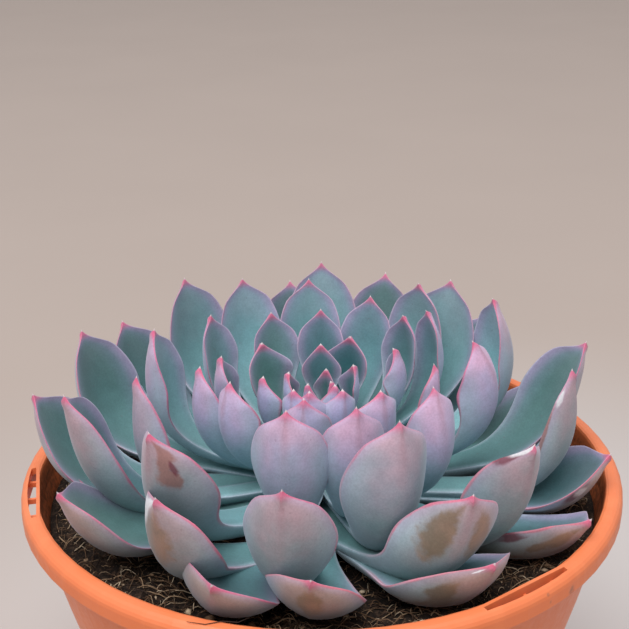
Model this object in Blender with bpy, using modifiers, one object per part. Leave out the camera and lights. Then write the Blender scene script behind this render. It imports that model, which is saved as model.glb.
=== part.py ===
"""Potted echeveria: one rosette of thick, spoon-shaped leaves on a short stem,
standing in soil in a round plastic hanging pot with three hanger slots in its rim.

Metres, +Z up. The origin is the middle of the pot's base, and the front is -Y.
"""

import bpy
import bmesh
import math

MM = 0.001

# Pot, all turned about Z.
POT_HEIGHT = 95 * MM
RIM_RADIUS = 70 * MM
MOUTH_RADIUS = 66 * MM
LEDGE_THICKNESS = 1.6 * MM
SKIRT_DEPTH = 5.5 * MM
SKIRT_THICKNESS = 1.3 * MM
RIM_ROUNDING = 2.4 * MM
MOUTH_ROUNDING = 0.8 * MM
WALL_THICKNESS = 1.6 * MM
FLOOR_THICKNESS = 2.0 * MM
BODY_TOP_RADIUS = 66.8 * MM
BODY_TAPER = 0.24
BODY_BOW = 0.5 / 1000 / MM
BODY_SHARES = (0.1, 0.32, 0.55, 0.76)
FOOT_ROUNDING = 4 * MM
SKIRT_ROUNDING = 0.6 * MM
LEDGE_FILLET = 0.8 * MM
MOUTH_DRAFT = 0.6 * MM
BODY_DRAFT = 0.3 * MM
POT_STEPS = 72
SMOOTH_UP_TO = 35

# Hanger slots through the rim's ledge, each behind a short straight length of wall.
SLOT_TURNS = (69, 191, 307)
SLOT_LENGTH = 22.6 * MM
SLOT_FLAT = 66.4 * MM
SLOT_OUTER_RADIUS = 68.4 * MM
SLOT_DEPTH = 8 * MM
BOSS_LENGTH = 24.6 * MM
BOSS_FLAT = 65.6 * MM
BOSS_OUTER_RADIUS = 67.5 * MM
BOSS_DEPTH = 5 * MM
SLOT_ARC_STEPS = 6
RIB_COUNT = 3
RIB_SPACING = 6.6
RIB_THICKNESS = 0.8 * MM
RIB_TOP_DROP = 1.8 * MM
RIB_DEPTH = 1.2 * MM
RIB_SUNK = 0.3 * MM

# Drainage holes in the pot's floor. A cutter passes its faces by the margin.
CUT_MARGIN = 1 * MM
DRAIN_COUNT = 6
DRAIN_SIDES = 16
DRAIN_RADIUS = 4 * MM
DRAIN_CIRCLE = 27 * MM

# Soil, and the clearance that pieces in contact keep.
CLEARANCE = 0.3 * MM
SOIL_DROP = 12.2 * MM
SOIL_RISE = 3.2 * MM
SOIL_RISE_FROM = 38 * MM
SOIL_RISE_TO = 58 * MM
SOIL_RELIEF = 0.35 * MM
SOIL_WAVES = ((190, 230, 1.3, 0.8), (410, -330, 0.6, 0.6), (620, 540, 2.1, 0.4))
SOIL_STEPS = 60
SOIL_RINGS = 8

# Stem: a short thick axis that the leaves grow from.
STEM_RADIUS = 6.5 * MM
STEM_FOOT_DROP = 28 * MM
STEM_CHAMFER = 1 * MM
STEM_SHARES = (0.04, 0.2, 0.45, 0.8)
STEM_STEPS = 14

# The rosette's spiral. A leaf's rank runs from 0 at the heart to 10 at the outside.
LEAF_COUNT = 70
DIVERGENCE = 138.1
FIRST_AZIMUTH = 357.6
RANK_POWER = 0.79
OUTER_RANK = 10

# Leaves by whole rank, heart to outside. Heights are above the rim's top.
TIP_REACH = [r * MM for r in (1, 6, 13, 21, 30, 38, 46, 54, 61, 66, 66)]
TIP_HEIGHT = [h * MM for h in (20.5, 22.5, 24.5, 27, 30, 32.5, 33.5, 31.5, 25.5, 14, 4)]
LEAF_WIDTH = [w * MM for w in (4, 6.5, 9.5, 11, 13, 16, 18.5, 19, 19.5, 21, 20)]
ROOT_ANGLE = (70, 50, 36, 24, 15, 10, 7, 6, 4, 3, 2)
TIP_ANGLE = (98, 96, 95, 95, 95, 95, 94, 90, 80, 62, 50)
BEND_SPAN = (0.9, 0.85, 0.8, 0.75, 0.7, 0.65, 0.6, 0.55, 0.5, 0.4, 0.35)
APEX_HEIGHT = 8 * MM
APEX_RISE = 2 * MM
LOWEST_ROOT = -7 * MM
ROOT_DEPTH = 0.5
ROOT_SPREAD = 0.6

# Leaves that dropped off, by number from the heart.
LOST_LEAVES = (27, 34, 38, 42)

# Leaves that stray from the spiral: degrees turned, and how far out of rank.
STRAY_LEAVES = {
    2: (-8, 0), 4: (5, 0), 6: (-7, 0.4), 7: (-22, 0.3), 8: (-40, 0), 10: (8, 0.2),
    11: (-20, -0.5), 13: (19, -0.1), 14: (-7, 0.5), 15: (3, 0.3), 16: (-4, 0), 17: (9, -0.2),
    18: (10, 0), 19: (7, -0.5), 21: (0, -0.4), 22: (0, -0.3), 23: (5, 0), 24: (-2, 0.4),
    25: (0, -0.3), 26: (-12, -0.25), 28: (3, 0), 29: (0, -0.5), 30: (-2, -0.15), 31: (0, -1.1),
    32: (1, -0.4), 33: (-3, 0), 35: (6, 0), 36: (-14, -0.7), 37: (1, 0), 39: (13, -0.4),
    40: (0, 0.6), 41: (-6.5, -0.3), 43: (-14, 0.7), 44: (6, -0.5), 45: (-0.5, 0.68),
    46: (5, -0.3), 48: (-6, 0), 49: (1.5, 0.2), 50: (5, 0.5), 51: (-9, 0.35), 52: (-9, 0),
    53: (0.6, 0.2), 54: (-3, 0), 55: (-7, -0.5), 58: (0, 0.6), 59: (0, 1), 60: (-4, 0.6),
    63: (3, 0.3), 64: (0, -0.7), 66: (8, 0),
}

# Leaves longer or shorter, and wider or narrower, than their rank.
LONG_LEAVES = {
    9: 0.97, 15: 1.03, 18: 1.045, 20: 0.965, 21: 1.04, 26: 1.03, 33: 0.985, 40: 1.04,
    43: 1.015, 44: 0.985, 48: 1.03, 51: 0.985, 52: 1.04, 56: 1.04, 60: 1.01, 68: 1.02, 69: 0.9,
}
WIDE_LEAVES = {
    10: 1.2, 12: 1.2, 13: 1.05, 14: 1.05, 16: 1.15, 18: 0.94, 21: 0.65, 25: 0.85, 26: 1.04,
    29: 0.93, 31: 0.76, 32: 1.06, 35: 0.75, 37: 1.05, 39: 0.85, 40: 1.13, 44: 1.15, 53: 1.13,
    63: 1.15, 66: 1.18, 68: 1.05,
}

# Leaves whose tips lean in or out, and leaves rolled about their rib, in degrees.
LEANING_LEAVES = {
    10: 14, 13: 22, 14: 6, 18: 16, 26: 24, 29: 10, 31: 20, 35: -5, 36: 14, 39: 16, 40: -12,
    47: 2, 48: -10, 52: -9, 53: -3, 55: -8,
}
ROLLED_LEAVES = {
    9: 10, 12: -15, 13: -30, 14: 8, 24: 4, 26: -28, 29: -10, 31: -8, 35: -10, 37: 4, 39: -8,
    40: -10, 43: -22, 44: 8, 45: -8, 47: -8, 48: -8, 50: -20, 51: -8, 52: 8, 53: -16, 55: -12,
    56: -22, 58: -12, 60: 8, 61: -8, 63: -4, 64: -8, 66: -15, 68: -16,
}

# Leaves less hollow than their rank, leaves and necks bowed to one side, in millimetres, and
# leaves that leave the stem more steeply, in degrees.
FLAT_LEAVES = {47: 0.5, 53: 0.72, 58: 0.6, 63: 0.8, 66: 0.85}
BOWED_LEAVES = {
    31: 0.9, 36: 0.6, 37: 0.9, 39: 0.6, 40: 2.8, 45: 0.8, 50: 3.6, 53: 3.2, 63: 5, 66: 6, 68: 2.2,
}
BOWED_NECKS = {40: -3.5, 50: 7, 53: -11, 63: 6, 66: -4}
STEEP_LEAVES = {40: 4, 50: 2, 53: -0.5, 63: -0.6}

# One leaf's own form. Along a leaf, 0 is the root and 1 is the tip.
MIDRIB_STEPS = 60
BEND_SEARCH = 30
NECK_SHARE = 0.40
NECK_END = 0.38
WIDEST = 0.77
TIP_ROUNDNESS = 0.6
TIP_SHARPNESS = 8
THICKNESS_SHARE = 0.25
ROOT_THICKNESS = 0.8
FULL_THICKNESS_FROM = 0.5
TIP_THINNING = 6
SHARE_OVER_RIB = 0.35
CUP_SHARE = (0.65, 0.65, 0.65, 0.65, 0.65, 0.65, 0.65, 0.65, 0.6, 0.5, 0.45)
NECK_CUP = 0.35
CUP_FROM = 0.32
FULL_CUP_FROM = 0.78
TIP_CUP = (0.35, 0.35, 0.35, 0.35, 0.35, 0.4, 0.55, 0.75, 0.85, 0.9, 0.9)
TIP_CUP_FROM = 0.78
ROLL_FROM = 0.25
ROLL_SPAN = 0.6
BOW_DELAY = 1.3
NECK_BOW_AT = 0.3
NECK_BOW_END = 0.65
STATIONS = (0, 0.3, 0.48, 0.64, 0.78, 0.89, 0.96)
SMALL_STATIONS = (0, 0.35, 0.65, 0.85, 0.95)
SECTION = ((-1, -0.4, 0.4, 1), (0.75, 0.35, -0.35, -0.75))
SMALL_SECTION = ((-1, 0, 1), (0.5, -0.5))
SMALL_RANK = 2.6

# Colours as linear red, green, blue.
POT_COLOUR = (0.72, 0.19, 0.07, 1)
SOIL_COLOUR = (0.035, 0.022, 0.014, 1)
LEAF_COLOUR = (0.24, 0.33, 0.36, 1)


def collection(name):
    made = bpy.data.collections.new(name)
    bpy.context.scene.collection.children.link(made)
    return made


def finish(name, colour, roughness):
    made = bpy.data.materials.new(name)
    made.use_nodes = True
    shader = made.node_tree.nodes["Principled BSDF"]
    shader.inputs["Base Color"].default_value = colour
    shader.inputs["Roughness"].default_value = roughness
    shader.inputs["Metallic"].default_value = 0
    return made


def move_to(made, group):
    for owner in made.users_collection:
        owner.objects.unlink(made)
    group.objects.link(made)


def mesh_object(name, points, faces, group):
    mesh = bpy.data.meshes.new(name)
    mesh.from_pydata(points, [], faces)
    mesh.update()
    made = bpy.data.objects.new(name, mesh)
    group.objects.link(made)
    return made


def turned(name, profile, steps, group):
    """A profile of (radius, height) turned about Z."""
    edges = [(k, k + 1) for k in range(len(profile) - 1)]
    mesh = bpy.data.meshes.new(name)
    mesh.from_pydata([(radius, 0, height) for radius, height in profile], edges, [])
    made = bpy.data.objects.new(name, mesh)
    group.objects.link(made)
    screw = made.modifiers.new("Turn", "SCREW")
    screw.steps = steps
    screw.render_steps = steps
    screw.use_merge_vertices = True
    screw.merge_threshold = 0.00001
    return made


def evaluated_mesh(source):
    """The object's mesh with its modifiers applied."""
    bpy.context.view_layer.update()
    graph = bpy.context.evaluated_depsgraph_get()
    return bpy.data.meshes.new_from_object(source.evaluated_get(graph))


def apply_modifiers(target):
    mesh = evaluated_mesh(target)
    old = target.data
    target.modifiers.clear()
    target.data = mesh
    if isinstance(old, bpy.types.Mesh):
        bpy.data.meshes.remove(old)


def as_guide(made):
    made.hide_render = True
    made.display_type = "WIRE"
    return made


def box(name, low, high, turn, group):
    """A box between two corners, turned by degrees about Z."""
    bpy.ops.mesh.primitive_cube_add(size=1)
    made = bpy.context.object
    made.name = name
    middle = [(a + b) / 2 for a, b in zip(low, high)]
    size = [b - a for a, b in zip(low, high)]
    for point in made.data.vertices:
        point.co = [m + c * s for m, c, s in zip(middle, point.co, size)]
    made.rotation_euler = (0, 0, math.radians(turn))
    move_to(made, group)
    return as_guide(made)


def prism(name, outline, low, high, turn, group):
    """A flat outline extruded from low to high, turned by degrees about Z."""
    curve = bpy.data.curves.new(name, "CURVE")
    curve.dimensions = "2D"
    curve.fill_mode = "BOTH"
    curve.extrude = (high - low) / 2
    spline = curve.splines.new("POLY")
    spline.points.add(len(outline) - 1)
    for point, (x, y) in zip(spline.points, outline):
        point.co = (x, y, 0, 1)
    spline.use_cyclic_u = True
    flat = bpy.data.objects.new(name, curve)
    flat.location = (0, 0, (low + high) / 2)
    flat.rotation_euler = (0, 0, math.radians(turn))
    group.objects.link(flat)
    mesh = evaluated_mesh(flat)
    shape = bmesh.new()
    shape.from_mesh(mesh)
    bmesh.ops.remove_doubles(shape, verts=shape.verts, dist=0.00001)
    bmesh.ops.recalc_face_normals(shape, faces=shape.faces)
    shape.to_mesh(mesh)
    shape.free()
    made = bpy.data.objects.new(name, mesh)
    made.matrix_world = flat.matrix_world
    bpy.data.objects.remove(flat)
    group.objects.link(made)
    return as_guide(made)


def boolean(target, operation, group):
    change = target.modifiers.new(operation.title(), "BOOLEAN")
    change.operation = operation
    change.operand_type = "COLLECTION"
    change.collection = group
    change.solver = "EXACT"


def arc(middle, radius, start, end, count):
    """Points on an arc, from start to end degrees."""
    points = []
    for k in range(count + 1):
        angle = math.radians(start + (end - start) * k / count)
        points.append((middle[0] + radius * math.cos(angle), middle[1] + radius * math.sin(angle)))
    return points


def body_radius(height):
    """Outside radius of the pot's body: a taper with a slight bow."""
    drop = POT_HEIGHT - SKIRT_DEPTH - height
    return BODY_TOP_RADIUS - BODY_TAPER * drop - BODY_BOW * drop * drop


def pot_profile():
    """The pot's half section, from its floor up the inside, over the rim and down."""
    top = POT_HEIGHT
    low = top - SKIRT_DEPTH
    heights = [top * share for share in BODY_SHARES]
    inner_floor = body_radius(FLOOR_THICKNESS) - WALL_THICKNESS - FOOT_ROUNDING
    inside = [(0, FLOOR_THICKNESS), (inner_floor, FLOOR_THICKNESS)]
    inside += [(body_radius(h) - WALL_THICKNESS, h) for h in heights]
    inside.append((MOUTH_RADIUS - MOUTH_DRAFT, low))
    mouth_middle = (MOUTH_RADIUS + MOUTH_ROUNDING, top - MOUTH_ROUNDING)
    rim_middle = (RIM_RADIUS - RIM_ROUNDING, top - RIM_ROUNDING)
    skirt_middle = (RIM_RADIUS - SKIRT_ROUNDING, low + SKIRT_ROUNDING)
    rim = arc(mouth_middle, MOUTH_ROUNDING, 180, 90, 2)
    rim += arc(rim_middle, RIM_ROUNDING, 90, 0, 5)
    rim += arc(skirt_middle, SKIRT_ROUNDING, 0, -90, 2)
    hollow = RIM_RADIUS - SKIRT_THICKNESS
    ledge = top - LEDGE_THICKNESS
    under = [(hollow, low), (hollow, ledge - LEDGE_FILLET), (hollow - LEDGE_FILLET, ledge)]
    under.append((BODY_TOP_RADIUS + BODY_DRAFT, ledge))
    outside = [(BODY_TOP_RADIUS, low)]
    outside += [(body_radius(h), h) for h in reversed(heights)]
    foot_middle = (body_radius(FOOT_ROUNDING) - FOOT_ROUNDING, FOOT_ROUNDING)
    outside += arc(foot_middle, FOOT_ROUNDING, 0, -90, 3)
    return inside + rim + under + outside + [(0, 0)]


def slot_outline(flat, outer, length):
    """Seen from above at +X: straight beside the pot, and round on its outer side."""
    reach = length / 2
    turn = math.degrees(math.asin(reach / outer))
    return [(flat, -reach)] + arc((0, 0), outer, -turn, turn, SLOT_ARC_STEPS) + [(flat, reach)]


def make_slot(turn, bosses, cutters, ribs):
    """One hanger slot: the boss it stands in, its cutter and the ribs across it."""
    top = POT_HEIGHT
    around = slot_outline(BOSS_FLAT, BOSS_OUTER_RADIUS, BOSS_LENGTH)
    prism("boss", around, top - BOSS_DEPTH, top, turn, bosses)
    opening = slot_outline(SLOT_FLAT, SLOT_OUTER_RADIUS, SLOT_LENGTH)
    prism("slot", opening, top - SLOT_DEPTH, top + CUT_MARGIN, turn, cutters)
    rib_top = top - RIB_TOP_DROP
    rib_end = RIM_RADIUS - SKIRT_THICKNESS / 2
    for k in range(RIB_COUNT):
        place = RIB_SPACING * (k - (RIB_COUNT - 1) / 2)
        low = (SLOT_FLAT - RIB_SUNK, -RIB_THICKNESS / 2, rib_top - RIB_DEPTH)
        box("rib", low, (rib_end, RIB_THICKNESS / 2, rib_top), turn + place, ribs)


def make_drain(angle, cutters):
    place = (DRAIN_CIRCLE * math.cos(angle), DRAIN_CIRCLE * math.sin(angle), 0)
    depth = 2 * (FLOOR_THICKNESS + CUT_MARGIN)
    bpy.ops.mesh.primitive_cylinder_add(
        vertices=DRAIN_SIDES, radius=DRAIN_RADIUS, depth=depth, location=place)
    drain = bpy.context.object
    drain.name = "drain"
    move_to(drain, cutters)
    as_guide(drain)


def make_pot(parts):
    bosses = collection("Slot bosses")
    cutters = collection("Pot cutters")
    ribs = collection("Slot ribs")
    pot = turned("pot", pot_profile(), POT_STEPS, parts)
    for turn in SLOT_TURNS:
        make_slot(turn, bosses, cutters, ribs)
    for k in range(DRAIN_COUNT):
        make_drain(math.radians(k * 360 / DRAIN_COUNT), cutters)
    boolean(pot, "UNION", bosses)
    boolean(pot, "DIFFERENCE", cutters)
    boolean(pot, "UNION", ribs)
    apply_modifiers(pot)
    pot.data.shade_smooth()
    pot.data.set_sharp_from_angle(angle=math.radians(SMOOTH_UP_TO))
    pot.data.materials.append(finish("pot plastic", POT_COLOUR, 0.45))


def soil_relief(x, y):
    """Height of the soil's small lumps, from a few crossing waves."""
    height = 0
    for across, along, phase, share in SOIL_WAVES:
        height += share * math.sin(across * x + along * y + phase)
    return SOIL_RELIEF * height


def make_soil(parts):
    top = POT_HEIGHT - SOIL_DROP
    hole = STEM_RADIUS + CLEARANCE
    hole_floor = POT_HEIGHT - STEM_FOOT_DROP - CLEARANCE
    inset = WALL_THICKNESS + CLEARANCE
    edge = body_radius(top) - inset
    profile = [(0, hole_floor), (hole, hole_floor)]
    for k in range(SOIL_RINGS + 1):
        radius = hole + (edge - hole) * k / SOIL_RINGS
        rise = SOIL_RISE * smooth((radius - SOIL_RISE_FROM) / (SOIL_RISE_TO - SOIL_RISE_FROM))
        profile.append((radius, top + rise))
    for share in reversed(BODY_SHARES):
        height = POT_HEIGHT * share
        profile.append((body_radius(height) - inset, height))
    floor = FLOOR_THICKNESS + CLEARANCE
    profile.append((body_radius(floor) - inset - FOOT_ROUNDING, floor))
    profile.append((0, floor))
    soil = turned("soil", profile, SOIL_STEPS, parts)
    apply_modifiers(soil)
    for point in soil.data.vertices:
        radius = math.hypot(point.co.x, point.co.y)
        if point.co.z > top - CUT_MARGIN and hole + CUT_MARGIN < radius < edge - CUT_MARGIN:
            point.co.z += soil_relief(point.co.x, point.co.y)
    soil.data.materials.append(finish("soil mix", SOIL_COLOUR, 0.95))


def by_rank(values, rank):
    """A value at any rank, from the values given at whole ranks."""
    low = min(int(rank), len(values) - 2)
    share = rank - low
    return values[low] * (1 - share) + values[low + 1] * share


def smooth(share):
    share = min(1, max(0, share))
    return share * share * (3 - 2 * share)


def midrib(root, tip, root_angle, tip_angle, span):
    """A leaf's midrib in its upright plane: it leaves the stem at root_angle, turns up
    along one soft bend and ends at tip_angle. The bend slides to meet the tip."""
    chord = math.atan2(tip[1] - root[1], tip[0] - root[0])

    def walk(bend):
        x, z = 0, 0
        path = [(0, 0, math.radians(root_angle))]
        for k in range(MIDRIB_STEPS):
            share = (k + 0.5) / MIDRIB_STEPS
            angle = root_angle + (tip_angle - root_angle) * smooth((share - bend) / span + 0.5)
            angle = math.radians(angle)
            x += math.cos(angle) / MIDRIB_STEPS
            z += math.sin(angle) / MIDRIB_STEPS
            path.append((x, z, angle))
        return path

    early, late = -1, 2
    for _ in range(BEND_SEARCH):
        bend = (early + late) / 2
        end = walk(bend)[-1]
        if math.atan2(end[1], end[0]) > chord:
            early = bend
        else:
            late = bend
    path = walk(bend)
    end = path[-1]
    length = math.hypot(tip[0] - root[0], tip[1] - root[1]) / math.hypot(end[0], end[1])
    return [(root[0] + length * x, root[1] + length * z, angle) for x, z, angle in path]


def width_share(share):
    """Half-width along the leaf: a narrow neck, widest near the tip, then a short point."""
    if share < WIDEST:
        return NECK_SHARE + (1 - NECK_SHARE) * smooth((share - NECK_END) / (WIDEST - NECK_END))
    past = (share - WIDEST) / (1 - WIDEST)
    return (1 - past ** 2) ** TIP_ROUNDNESS * (1 - past ** TIP_SHARPNESS)


def neck_bow(share):
    falling = smooth((share - NECK_BOW_AT) / (NECK_BOW_END - NECK_BOW_AT))
    return smooth(share / NECK_BOW_AT) * (1 - falling)


def cup_share(share, rank):
    """How hollow the leaf is along its length: nearly flat at the neck, most at its widest."""
    opening = NECK_CUP + (1 - NECK_CUP) * smooth((share - CUP_FROM) / (FULL_CUP_FROM - CUP_FROM))
    closing = 1 - by_rank(TIP_CUP, rank)
    return opening * (1 - closing * smooth((share - TIP_CUP_FROM) / (1 - TIP_CUP_FROM)))


def leaf_place(number):
    """Azimuth in degrees and rank of a leaf, counted from the heart."""
    turn, shift = STRAY_LEAVES.get(number, (0, 0))
    rank = OUTER_RANK * ((number + 0.7) / LEAF_COUNT) ** RANK_POWER + shift
    azimuth = FIRST_AZIMUTH - DIVERGENCE * number + turn
    return azimuth, min(OUTER_RANK, rank)


def root_place(rank):
    """Where a leaf's root sits on the stem: radius, and height above the rim's top."""
    share = rank / OUTER_RANK
    height = APEX_HEIGHT + (LOWEST_ROOT - APEX_HEIGHT) * (1 - (1 - share) ** 2)
    return ROOT_DEPTH * STEM_RADIUS * share ** ROOT_SPREAD, height


def thickness(width, share):
    """A leaf's thickness at its rib: thinner at the root, and to nothing at the point."""
    opening = ROOT_THICKNESS + (1 - ROOT_THICKNESS) * smooth(share / FULL_THICKNESS_FROM)
    return width * THICKNESS_SHARE * opening * (1 - share ** TIP_THINNING)


def section(half, thick, cup, small):
    """One cross-section, margin to margin over the hollow face and back under the keel."""
    over, under = SMALL_SECTION if small else SECTION
    above = SHARE_OVER_RIB * thick
    below = (1 - SHARE_OVER_RIB) * thick
    hollow = [(x * half, cup * x * x + above * (1 - x * x)) for x in over]
    keel = [(x * half, cup * x * x - below * (1 - x * x)) for x in under]
    return hollow + keel


def leaf_mesh(number):
    azimuth, rank = leaf_place(number)
    longer = LONG_LEAVES.get(number, 1)
    tip = (longer * by_rank(TIP_REACH, rank), longer * by_rank(TIP_HEIGHT, rank))
    root = root_place(rank)
    tip_angle = by_rank(TIP_ANGLE, rank) + LEANING_LEAVES.get(number, 0)
    root_angle = by_rank(ROOT_ANGLE, rank) + STEEP_LEAVES.get(number, 0)
    path = midrib(root, tip, root_angle, tip_angle, by_rank(BEND_SPAN, rank))
    width = by_rank(LEAF_WIDTH, rank) * WIDE_LEAVES.get(number, 1)
    hollow = by_rank(CUP_SHARE, rank) * FLAT_LEAVES.get(number, 1)
    small = rank < SMALL_RANK
    turn = math.radians(azimuth)
    out = (math.cos(turn), math.sin(turn))
    side = (-out[1], out[0])
    points = []

    def place(radius, across, height):
        x = out[0] * radius + side[0] * across
        y = out[1] * radius + side[1] * across
        points.append((x, y, POT_HEIGHT + height))

    stations = SMALL_STATIONS if small else STATIONS
    for share in stations:
        radius, height, angle = path[round(share * (len(path) - 1))]
        half = width / 2 * width_share(share)
        thick = thickness(width, share)
        cup = hollow * half * cup_share(share, rank)
        roll = math.radians(ROLLED_LEAVES.get(number, 0)) * smooth((share - ROLL_FROM) / ROLL_SPAN)
        bow = BOWED_LEAVES.get(number, 0) * MM * math.sin(math.pi * share ** BOW_DELAY) ** 2
        bow += BOWED_NECKS.get(number, 0) * MM * neck_bow(share)
        for across, lift in section(half, thick, cup, small):
            wide = across * math.cos(roll) - lift * math.sin(roll) - bow
            deep = across * math.sin(roll) + lift * math.cos(roll)
            place(radius - deep * math.sin(angle), wide, height + deep * math.cos(angle))
    radius, height, angle = path[-1]
    place(radius, 0, height)
    count = (len(points) - 1) // len(stations)
    hollow_count = len(SMALL_SECTION[0] if small else SECTION[0]) - 1
    faces = [tuple(reversed(range(count)))]
    for ring in range(len(stations) - 1):
        for k in range(count):
            a = ring * count + k
            b = ring * count + (k + 1) % count
            if k < hollow_count:
                faces += [(a, b, b + count), (a, b + count, a + count)]
            else:
                faces += [(a, b, a + count), (b, b + count, a + count)]
    last = (len(stations) - 1) * count
    for k in range(count):
        faces.append((last + k, last + (k + 1) % count, len(points) - 1))
    return points, faces


def make_rosette(parts):
    leaves = collection("Leaves")
    top = POT_HEIGHT
    foot = top - STEM_FOOT_DROP
    profile = [(0, top + APEX_HEIGHT + APEX_RISE)]
    for share in STEM_SHARES:
        radius, height = root_place(share * OUTER_RANK)
        profile.append((radius / ROOT_DEPTH, top + height))
    profile.append((STEM_RADIUS, top + LOWEST_ROOT))
    profile.append((STEM_RADIUS, foot + STEM_CHAMFER))
    profile.append((STEM_RADIUS - STEM_CHAMFER, foot))
    profile.append((0, foot))
    rosette = turned("rosette", profile, STEM_STEPS, parts)
    for number in range(LEAF_COUNT):
        if number in LOST_LEAVES:
            continue
        points, faces = leaf_mesh(number)
        mesh_object("leaf", points, faces, leaves)
    boolean(rosette, "UNION", leaves)
    apply_modifiers(rosette)
    for leaf in list(leaves.objects):
        bpy.data.objects.remove(leaf)
    bpy.data.collections.remove(leaves)
    rosette.data.shade_smooth()
    rosette.data.materials.append(finish("leaf flesh", LEAF_COLOUR, 0.6))


def main():
    for old in list(bpy.data.objects):
        bpy.data.objects.remove(old)
    parts = collection("Potted echeveria")
    make_pot(parts)
    make_soil(parts)
    make_rosette(parts)


main()
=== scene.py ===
"""Potted echeveria: fine leaves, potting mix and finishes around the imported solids.

Metres, +Z up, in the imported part's own frame. The front is -Y.
"""

import math

import bpy
import numpy as np
from mathutils import Matrix, Vector, noise

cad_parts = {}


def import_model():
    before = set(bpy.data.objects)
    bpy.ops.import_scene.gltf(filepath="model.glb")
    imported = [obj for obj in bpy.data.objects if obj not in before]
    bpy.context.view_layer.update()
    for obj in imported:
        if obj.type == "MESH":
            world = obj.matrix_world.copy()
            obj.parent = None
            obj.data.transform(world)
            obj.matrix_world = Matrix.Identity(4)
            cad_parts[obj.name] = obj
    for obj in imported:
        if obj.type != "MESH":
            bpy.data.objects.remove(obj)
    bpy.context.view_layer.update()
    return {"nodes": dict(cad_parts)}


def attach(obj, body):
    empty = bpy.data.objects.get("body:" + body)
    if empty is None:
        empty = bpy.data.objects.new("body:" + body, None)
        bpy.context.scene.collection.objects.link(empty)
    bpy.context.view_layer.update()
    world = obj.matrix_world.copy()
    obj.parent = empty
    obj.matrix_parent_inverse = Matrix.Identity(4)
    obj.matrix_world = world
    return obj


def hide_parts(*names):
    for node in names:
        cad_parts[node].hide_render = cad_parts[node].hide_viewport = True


MM = 0.001
SEED = 11

# The camera of the photograph, and the studio around it.
PICTURE_SIDE = 629
FOCAL_PIXELS = 1281.588
SENSOR_WIDTH = 36
CAMERA_PLACE = (-1.136 * MM, -268.583 * MM, 241.849 * MM)
CAMERA_PITCH = 22.158
CAMERA_ROLL = -0.772
FLOOR_COLOUR = (0.385, 0.315, 0.275)
# A painted pool of light on the floor around the pot: its colour, its middle, and the distances where it
# fades out and where it is full.
FLOOR_LIGHT_POOL_COLOUR = (0.47, 0.43, 0.41)
FLOOR_LIGHT_POOL_PLACE = (50 * MM, 50 * MM, 0)
FLOOR_LIGHT_POOL_REACH = (0.28, 0.05)
FLOOR_SIDE = 8
SKY_COLOUR = (0.94, 0.96, 1.0)
SKY_STRENGTH = 0.66
KEY_PLACE = (-0.3, -0.8, 2.2)
KEY_AIM = (0, 0, 0.1)
KEY_SIDE = 2.1
KEY_POWER = 62
KEY_COLOUR = (0.97, 0.98, 1)

# Sizes that the part is built from.
POT_HEIGHT = 95 * MM
BODY_TOP_RADIUS = 66.8 * MM
SKIRT_DEPTH = 5.5 * MM
BODY_TAPER = 0.24
BODY_BOW = 0.5
WALL_THICKNESS = 1.6 * MM
SOIL_DROP = 12.2 * MM
SOIL_RISE = 3.2 * MM
SOIL_RISE_FROM = 38 * MM
SOIL_RISE_TO = 58 * MM
STEM_RADIUS = 6.5 * MM
STEM_FOOT_DROP = 28 * MM

# The rosette's spiral and its leaves by whole rank, heart to outside, as in the part.
LEAF_COUNT = 70
DIVERGENCE = 138.1
FIRST_AZIMUTH = 357.6
FIRST_NUMBER = 0.7
RANK_POWER = 0.79
OUTER_RANK = 10
TIP_REACH = [r * MM for r in (1, 6, 13, 21, 30, 38, 46, 54, 61, 66, 66)]
TIP_HEIGHT = [h * MM for h in (20.5, 22.5, 24.5, 27, 30, 32.5, 33.5, 31.5, 25.5, 14, 4)]
LEAF_WIDTH = [w * MM for w in (4, 6.5, 9.5, 11, 13, 16, 18.5, 19, 19.5, 21, 20)]
ROOT_ANGLE = (70, 50, 36, 24, 15, 10, 7, 6, 4, 3, 2)
TIP_ANGLE = (98, 96, 95, 95, 95, 95, 94, 90, 80, 62, 50)
BEND_SPAN = (0.9, 0.85, 0.8, 0.75, 0.7, 0.65, 0.6, 0.55, 0.5, 0.4, 0.35)
APEX_HEIGHT = 8 * MM
APEX_RISE = 2 * MM
LOWEST_ROOT = -7 * MM
ROOT_DEPTH = 0.5
ROOT_SPREAD = 0.6
LOST_LEAVES = (27, 34, 38, 42)

# Leaves that stray from the spiral: degrees turned, and how far out of rank.
STRAY_LEAVES = {
    2: (-8, 0), 4: (5, 0), 6: (-7, 0.4), 7: (-22, 0.3), 8: (-40, 0), 10: (8, 0.2),
    11: (-20, -0.5), 13: (19, -0.1), 14: (-7, 0.5), 15: (3, 0.3), 16: (-4, 0), 17: (9, -0.2),
    18: (10, 0), 19: (7, -0.5), 21: (0, -0.4), 22: (0, -0.3), 23: (5, 0), 24: (-2, 0.4),
    25: (0, -0.3), 26: (-12, -0.25), 28: (3, 0), 29: (0, -0.5), 30: (-2, -0.15), 31: (0, -1.1),
    32: (1, -0.4), 33: (-3, 0), 35: (6, 0), 36: (-14, -0.7), 37: (1, 0), 39: (13, -0.4),
    40: (0, 0.6), 41: (-6.5, -0.3), 43: (-14, 0.7), 44: (6, -0.5), 45: (-0.5, 0.68),
    46: (5, -0.3), 48: (-6, 0), 49: (1.5, 0.2), 50: (5, 0.5), 51: (-9, 0.35), 52: (-9, 0),
    53: (0.6, 0.2), 54: (-3, 0), 55: (-7, -0.5), 58: (0, 0.6), 59: (0, 1), 60: (-4, 0.6),
    63: (3, 0.3), 64: (0, -0.7), 66: (8, 0),
}

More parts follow.
